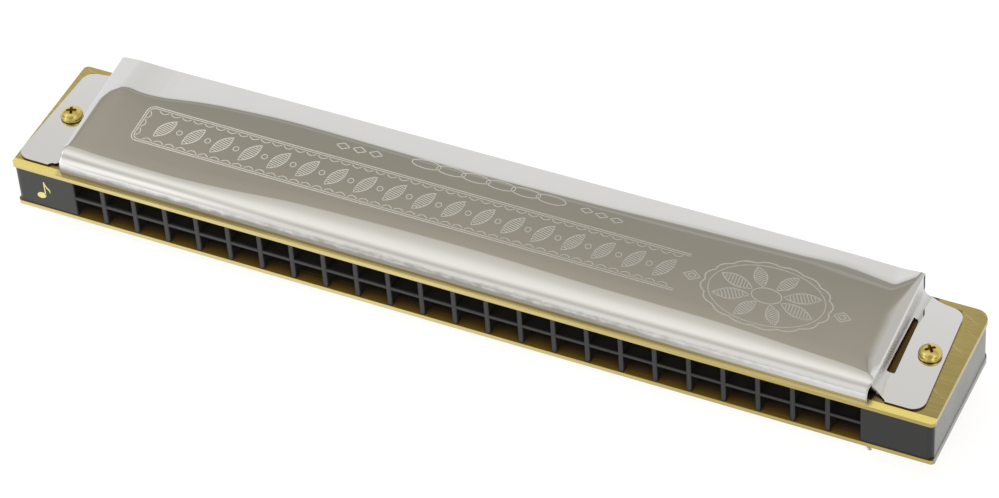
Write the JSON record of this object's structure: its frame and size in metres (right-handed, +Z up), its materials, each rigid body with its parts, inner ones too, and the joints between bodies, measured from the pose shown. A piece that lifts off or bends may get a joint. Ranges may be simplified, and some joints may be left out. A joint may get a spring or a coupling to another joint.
{
  "type": "tremolo harmonica",
  "caption": "Tremolo harmonica with a black comb of paired cells, brass reed plates with springy tongues and polished bent covers held by end screws.",
  "frame": {"origin": "centre of the outer size in plan, at the bottom of the lower cover", "axes": "+X along the row of cells from the low notes to the high notes, +Y from the mouth side to the open rear, +Z up through the covers"},
  "size_m": [0.182, 0.0288, 0.022],
  "materials": {
    "comb_plastic": "satin black moulded plastic",
    "plate_brass": "rolled brass with fine scratches and a bright bevel",
    "cover_steel": "mirror-polished stainless sheet with a light etched ornament",
    "screw_brass": "polished brass",
    "nail_brass": "plain turned brass",
    "reed_brass": "filed spring brass"
  },
  "bodies": {
    "body": {"comb": "comb_plastic", "cover_screws": "screw_brass", "lower_cover": "cover_steel", "lower_reed_pads": "reed_brass", "lower_reed_plate": "plate_brass", "lower_reed_rivets": "nail_brass", "plate_nails": "nail_brass", "upper_cover": "cover_steel", "upper_reed_pads": "reed_brass", "upper_reed_plate": "plate_brass", "upper_reed_rivets": "nail_brass"},
    "lower_blow_reed_01": {"lower_blow_reed_01": "reed_brass"},
    "lower_blow_reed_03": {"lower_blow_reed_03": "reed_brass"},
    "lower_blow_reed_05": {"lower_blow_reed_05": "reed_brass"},
    "lower_blow_reed_07": {"lower_blow_reed_07": "reed_brass"},
    "lower_blow_reed_09": {"lower_blow_reed_09": "reed_brass"},
    "lower_blow_reed_11": {"lower_blow_reed_11": "reed_brass"},
    "lower_blow_reed_13": {"lower_blow_reed_13": "reed_brass"},
    "lower_blow_reed_15": {"lower_blow_reed_15": "reed_brass"},
    "lower_blow_reed_17": {"lower_blow_reed_17": "reed_brass"},
    "lower_blow_reed_19": {"lower_blow_reed_19": "reed_brass"},
    "lower_blow_reed_21": {"lower_blow_reed_21": "reed_brass"},
    "lower_blow_reed_23": {"lower_blow_reed_23": "reed_brass"},
    "lower_draw_reed_02": {"lower_draw_reed_02": "reed_brass"},
    "lower_draw_reed_04": {"lower_draw_reed_04": "reed_brass"},
    "lower_draw_reed_06": {"lower_draw_reed_06": "reed_brass"},
    "lower_draw_reed_08": {"lower_draw_reed_08": "reed_brass"},
    "lower_draw_reed_10": {"lower_draw_reed_10": "reed_brass"},
    "lower_draw_reed_12": {"lower_draw_reed_12": "reed_brass"},
    "lower_draw_reed_14": {"lower_draw_reed_14": "reed_brass"},
    "lower_draw_reed_16": {"lower_draw_reed_16": "reed_brass"},
    "lower_draw_reed_18": {"lower_draw_reed_18": "reed_brass"},
    "lower_draw_reed_20": {"lower_draw_reed_20": "reed_brass"},
    "lower_draw_reed_22": {"lower_draw_reed_22": "reed_brass"},
    "lower_draw_reed_24": {"lower_draw_reed_24": "reed_brass"},
    "upper_blow_reed_01": {"upper_blow_reed_01": "reed_brass"},
    "upper_blow_reed_03": {"upper_blow_reed_03": "reed_brass"},
    "upper_blow_reed_05": {"upper_blow_reed_05": "reed_brass"},
    "upper_blow_reed_07": {"upper_blow_reed_07": "reed_brass"},
    "upper_blow_reed_09": {"upper_blow_reed_09": "reed_brass"},
    "upper_blow_reed_11": {"upper_blow_reed_11": "reed_brass"},
    "upper_blow_reed_13": {"upper_blow_reed_13": "reed_brass"},
    "upper_blow_reed_15": {"upper_blow_reed_15": "reed_brass"},
    "upper_blow_reed_17": {"upper_blow_reed_17": "reed_brass"},
    "upper_blow_reed_19": {"upper_blow_reed_19": "reed_brass"},
    "upper_blow_reed_21": {"upper_blow_reed_21": "reed_brass"},
    "upper_blow_reed_23": {"upper_blow_reed_23": "reed_brass"},
    "upper_draw_reed_02": {"upper_draw_reed_02": "reed_brass"},
    "upper_draw_reed_04": {"upper_draw_reed_04": "reed_brass"},
    "upper_draw_reed_06": {"upper_draw_reed_06": "reed_brass"},
    "upper_draw_reed_08": {"upper_draw_reed_08": "reed_brass"},
    "upper_draw_reed_10": {"upper_draw_reed_10": "reed_brass"},
    "upper_draw_reed_12": {"upper_draw_reed_12": "reed_brass"},
    "upper_draw_reed_14": {"upper_draw_reed_14": "reed_brass"},
    "upper_draw_reed_16": {"upper_draw_reed_16": "reed_brass"},
    "upper_draw_reed_18": {"upper_draw_reed_18": "reed_brass"},
    "upper_draw_reed_20": {"upper_draw_reed_20": "reed_brass"},
    "upper_draw_reed_22": {"upper_draw_reed_22": "reed_brass"},
    "upper_draw_reed_24": {"upper_draw_reed_24": "reed_brass"}
  },
  "joints": [
    {"name": "lower_blow_reed_flex_01", "type": "hinge", "parent": "body", "child": "lower_blow_reed_01", "pos_m": [-0.07538, 0.00745, 0.00698], "axis": [1, 0, 0], "range_deg": [-3.1, 3.1], "stiffness_Nm_per_rad": 0.01},
    {"name": "lower_blow_reed_flex_03", "type": "hinge", "parent": "body", "child": "lower_blow_reed_03", "pos_m": [-0.06234, 0.00745, 0.00698], "axis": [1, 0, 0], "range_deg": [-3.3, 3.3], "stiffness_Nm_per_rad": 0.01},
    {"name": "lower_blow_reed_flex_05", "type": "hinge", "parent": "body", "child": "lower_blow_reed_05", "pos_m": [-0.0493, 0.00745, 0.00698], "axis": [1, 0, 0], "range_deg": [-3.5, 3.5], "stiffness_Nm_per_rad": 0.01},
    {"name": "lower_blow_reed_flex_07", "type": "hinge", "parent": "body", "child": "lower_blow_reed_07", "pos_m": [-0.03626, 0.00745, 0.00698], "axis": [1, 0, 0], "range_deg": [-3.7, 3.7], "stiffness_Nm_per_rad": 0.01},
    {"name": "lower_blow_reed_flex_09", "type": "hinge", "parent": "body", "child": "lower_blow_reed_09", "pos_m": [-0.02322, 0.00745, 0.00698], "axis": [1, 0, 0], "range_deg": [-3.8, 3.8], "stiffness_Nm_per_rad": 0.01},
    {"name": "lower_blow_reed_flex_11", "type": "hinge", "parent": "body", "child": "lower_blow_reed_11", "pos_m": [-0.01018, 0.00745, 0.00698], "axis": [1, 0, 0], "range_deg": [-4, 4], "stiffness_Nm_per_rad": 0.01},
    {"name": "lower_blow_reed_flex_13", "type": "hinge", "parent": "body", "child": "lower_blow_reed_13", "pos_m": [0.00286, 0.00745, 0.00698], "axis": [1, 0, 0], "range_deg": [-4.2, 4.2], "stiffness_Nm_per_rad": 0.01},
    {"name": "lower_blow_reed_flex_15", "type": "hinge", "parent": "body", "child": "lower_blow_reed_15", "pos_m": [0.0159, 0.00745, 0.00698], "axis": [1, 0, 0], "range_deg": [-4.5, 4.5], "stiffness_Nm_per_rad": 0.01},
    {"name": "lower_blow_reed_flex_17", "type": "hinge", "parent": "body", "child": "lower_blow_reed_17", "pos_m": [0.02894, 0.00745, 0.00698], "axis": [1, 0, 0], "range_deg": [-4.7, 4.7], "stiffness_Nm_per_rad": 0.01},
    {"name": "lower_blow_reed_flex_19", "type": "hinge", "parent": "body", "child": "lower_blow_reed_19", "pos_m": [0.04198, 0.00745, 0.00698], "axis": [1, 0, 0], "range_deg": [-4.9, 4.9], "stiffness_Nm_per_rad": 0.01},
    {"name": "lower_blow_reed_flex_21", "type": "hinge", "parent": "body", "child": "lower_blow_reed_21", "pos_m": [0.05502, 0.00745, 0.00698], "axis": [1, 0, 0], "range_deg": [-5.2, 5.2], "stiffness_Nm_per_rad": 0.01},
    {"name": "lower_blow_reed_flex_23", "type": "hinge", "parent": "body", "child": "lower_blow_reed_23", "pos_m": [0.06806, 0.00745, 0.00698], "axis": [1, 0, 0], "range_deg": [-5.4, 5.4], "stiffness_Nm_per_rad": 0.01},
    {"name": "lower_draw_reed_flex_02", "type": "hinge", "parent": "body", "child": "lower_draw_reed_02", "pos_m": [-0.06886, -0.00665, 0.00552], "axis": [1, 0, 0], "range_deg": [-3.2, 3.2], "stiffness_Nm_per_rad": 0.01},
    {"name": "lower_draw_reed_flex_04", "type": "hinge", "parent": "body", "child": "lower_draw_reed_04", "pos_m": [-0.05582, -0.00665, 0.00552], "axis": [1, 0, 0], "range_deg": [-3.4, 3.4], "stiffness_Nm_per_rad": 0.01},
    {"name": "lower_draw_reed_flex_06", "type": "hinge", "parent": "body", "child": "lower_draw_reed_06", "pos_m": [-0.04278, -0.00665, 0.00552], "axis": [1, 0, 0], "range_deg": [-3.6, 3.6], "stiffness_Nm_per_rad": 0.01},
    {"name": "lower_draw_reed_flex_08", "type": "hinge", "parent": "body", "child": "lower_draw_reed_08", "pos_m": [-0.02974, -0.00665, 0.00552], "axis": [1, 0, 0], "range_deg": [-3.7, 3.7], "stiffness_Nm_per_rad": 0.01},
    {"name": "lower_draw_reed_flex_10", "type": "hinge", "parent": "body", "child": "lower_draw_reed_10", "pos_m": [-0.0167, -0.00665, 0.00552], "axis": [1, 0, 0], "range_deg": [-3.9, 3.9], "stiffness_Nm_per_rad": 0.01},
    {"name": "lower_draw_reed_flex_12", "type": "hinge", "parent": "body", "child": "lower_draw_reed_12", "pos_m": [-0.00366, -0.00665, 0.00552], "axis": [1, 0, 0], "range_deg": [-4.1, 4.1], "stiffness_Nm_per_rad": 0.01},
    {"name": "lower_draw_reed_flex_14", "type": "hinge", "parent": "body", "child": "lower_draw_reed_14", "pos_m": [0.00938, -0.00665, 0.00552], "axis": [1, 0, 0], "range_deg": [-4.4, 4.4], "stiffness_Nm_per_rad": 0.01},
    {"name": "lower_draw_reed_flex_16", "type": "hinge", "parent": "body", "child": "lower_draw_reed_16", "pos_m": [0.02242, -0.00665, 0.00552], "axis": [1, 0, 0], "range_deg": [-4.6, 4.6], "stiffness_Nm_per_rad": 0.01},
    {"name": "lower_draw_reed_flex_18", "type": "hinge", "parent": "body", "child": "lower_draw_reed_18", "pos_m": [0.03546, -0.00665, 0.00552], "axis": [1, 0, 0], "range_deg": [-4.8, 4.8], "stiffness_Nm_per_rad": 0.01},
    {"name": "lower_draw_reed_flex_20", "type": "hinge", "parent": "body", "child": "lower_draw_reed_20", "pos_m": [0.0485, -0.00665, 0.00552], "axis": [1, 0, 0], "range_deg": [-5.1, 5.1], "stiffness_Nm_per_rad": 0.01},
    {"name": "lower_draw_reed_flex_22", "type": "hinge", "parent": "body", "child": "lower_draw_reed_22", "pos_m": [0.06154, -0.00665, 0.00552], "axis": [1, 0, 0], "range_deg": [-5.3, 5.3], "stiffness_Nm_per_rad": 0.01},
    {"name": "lower_draw_reed_flex_24", "type": "hinge", "parent": "body", "child": "lower_draw_reed_24", "pos_m": [0.07458, -0.00665, 0.00552], "axis": [1, 0, 0], "range_deg": [-5.6, 5.6], "stiffness_Nm_per_rad": 0.01},
    {"name": "upper_blow_reed_flex_01", "type": "hinge", "parent": "body", "child": "upper_blow_reed_01", "pos_m": [-0.07538, 0.00745, 0.01502], "axis": [1, 0, 0], "range_deg": [-3.1, 3.1], "stiffness_Nm_per_rad": 0.01},
    {"name": "upper_blow_reed_flex_03", "type": "hinge", "parent": "body", "child": "upper_blow_reed_03", "pos_m": [-0.06234, 0.00745, 0.01502], "axis": [1, 0, 0], "range_deg": [-3.3, 3.3], "stiffness_Nm_per_rad": 0.01},
    {"name": "upper_blow_reed_flex_05", "type": "hinge", "parent": "body", "child": "upper_blow_reed_05", "pos_m": [-0.0493, 0.00745, 0.01502], "axis": [1, 0, 0], "range_deg": [-3.5, 3.5], "stiffness_Nm_per_rad": 0.01},
    {"name": "upper_blow_reed_flex_07", "type": "hinge", "parent": "body", "child": "upper_blow_reed_07", "pos_m": [-0.03626, 0.00745, 0.01502], "axis": [1, 0, 0], "range_deg": [-3.7, 3.7], "stiffness_Nm_per_rad": 0.01},
    {"name": "upper_blow_reed_flex_09", "type": "hinge", "parent": "body", "child": "upper_blow_reed_09", "pos_m": [-0.02322, 0.00745, 0.01502], "axis": [1, 0, 0], "range_deg": [-3.8, 3.8], "stiffness_Nm_per_rad": 0.01},
    {"name": "upper_blow_reed_flex_11", "type": "hinge", "parent": "body", "child": "upper_blow_reed_11", "pos_m": [-0.01018, 0.00745, 0.01502], "axis": [1, 0, 0], "range_deg": [-4, 4], "stiffness_Nm_per_rad": 0.01},
    {"name": "upper_blow_reed_flex_13", "type": "hinge", "parent": "body", "child": "upper_blow_reed_13", "pos_m": [0.00286, 0.00745, 0.01502], "axis": [1, 0, 0], "range_deg": [-4.2, 4.2], "stiffness_Nm_per_rad": 0.01},
    {"name": "upper_blow_reed_flex_15", "type": "hinge", "parent": "body", "child": "upper_blow_reed_15", "pos_m": [0.0159, 0.00745, 0.01502], "axis": [1, 0, 0], "range_deg": [-4.5, 4.5], "stiffness_Nm_per_rad": 0.01},
    {"name": "upper_blow_reed_flex_17", "type": "hinge", "parent": "body", "child": "upper_blow_reed_17", "pos_m": [0.02894, 0.00745, 0.01502], "axis": [1, 0, 0], "range_deg": [-4.7, 4.7], "stiffness_Nm_per_rad": 0.01},
    {"name": "upper_blow_reed_flex_19", "type": "hinge", "parent": "body", "child": "upper_blow_reed_19", "pos_m": [0.04198, 0.00745, 0.01502], "axis": [1, 0, 0], "range_deg": [-4.9, 4.9], "stiffness_Nm_per_rad": 0.01},
    {"name": "upper_blow_reed_flex_21", "type": "hinge", "parent": "body", "child": "upper_blow_reed_21", "pos_m": [0.05502, 0.00745, 0.01502], "axis": [1, 0, 0], "range_deg": [-5.2, 5.2], "stiffness_Nm_per_rad": 0.01},
    {"name": "upper_blow_reed_flex_23", "type": "hinge", "parent": "body", "child": "upper_blow_reed_23", "pos_m": [0.06806, 0.00745, 0.01502], "axis": [1, 0, 0], "range_deg": [-5.4, 5.4], "stiffness_Nm_per_rad": 0.01},
    {"name": "upper_draw_reed_flex_02", "type": "hinge", "parent": "body", "child": "upper_draw_reed_02", "pos_m": [-0.06886, -0.00665, 0.01648], "axis": [1, 0, 0], "range_deg": [-3.2, 3.2], "stiffness_Nm_per_rad": 0.01},
    {"name": "upper_draw_reed_flex_04", "type": "hinge", "parent": "body", "child": "upper_draw_reed_04", "pos_m": [-0.05582, -0.00665, 0.01648], "axis": [1, 0, 0], "range_deg": [-3.4, 3.4], "stiffness_Nm_per_rad": 0.01},
    {"name": "upper_draw_reed_flex_06", "type": "hinge", "parent": "body", "child": "upper_draw_reed_06", "pos_m": [-0.04278, -0.00665, 0.01648], "axis": [1, 0, 0], "range_deg": [-3.6, 3.6], "stiffness_Nm_per_rad": 0.01},
    {"name": "upper_draw_reed_flex_08", "type": "hinge", "parent": "body", "child": "upper_draw_reed_08", "pos_m": [-0.02974, -0.00665, 0.01648], "axis": [1, 0, 0], "range_deg": [-3.7, 3.7], "stiffness_Nm_per_rad": 0.01},
    {"name": "upper_draw_reed_flex_10", "type": "hinge", "parent": "body", "child": "upper_draw_reed_10", "pos_m": [-0.0167, -0.00665, 0.01648], "axis": [1, 0, 0], "range_deg": [-3.9, 3.9], "stiffness_Nm_per_rad": 0.01},
    {"name": "upper_draw_reed_flex_12", "type": "hinge", "parent": "body", "child": "upper_draw_reed_12", "pos_m": [-0.00366, -0.00665, 0.01648], "axis": [1, 0, 0], "range_deg": [-4.1, 4.1], "stiffness_Nm_per_rad": 0.01},
    {"name": "upper_draw_reed_flex_14", "type": "hinge", "parent": "body", "child": "upper_draw_reed_14", "pos_m": [0.00938, -0.00665, 0.01648], "axis": [1, 0, 0], "range_deg": [-4.4, 4.4], "stiffness_Nm_per_rad": 0.01},
    {"name": "upper_draw_reed_flex_16", "type": "hinge", "parent": "body", "child": "upper_draw_reed_16", "pos_m": [0.02242, -0.00665, 0.01648], "axis": [1, 0, 0], "range_deg": [-4.6, 4.6], "stiffness_Nm_per_rad": 0.01},
    {"name": "upper_draw_reed_flex_18", "type": "hinge", "parent": "body", "child": "upper_draw_reed_18", "pos_m": [0.03546, -0.00665, 0.01648], "axis": [1, 0, 0], "range_deg": [-4.8, 4.8], "stiffness_Nm_per_rad": 0.01},
    {"name": "upper_draw_reed_flex_20", "type": "hinge", "parent": "body", "child": "upper_draw_reed_20", "pos_m": [0.0485, -0.00665, 0.01648], "axis": [1, 0, 0], "range_deg": [-5.1, 5.1], "stiffness_Nm_per_rad": 0.01},
    {"name": "upper_draw_reed_flex_22", "type": "hinge", "parent": "body", "child": "upper_draw_reed_22", "pos_m": [0.06154, -0.00665, 0.01648], "axis": [1, 0, 0], "range_deg": [-5.3, 5.3], "stiffness_Nm_per_rad": 0.01},
    {"name": "upper_draw_reed_flex_24", "type": "hinge", "parent": "body", "child": "upper_draw_reed_24", "pos_m": [0.07458, -0.00665, 0.01648], "axis": [1, 0, 0], "range_deg": [-5.6, 5.6], "stiffness_Nm_per_rad": 0.01}
  ]
}
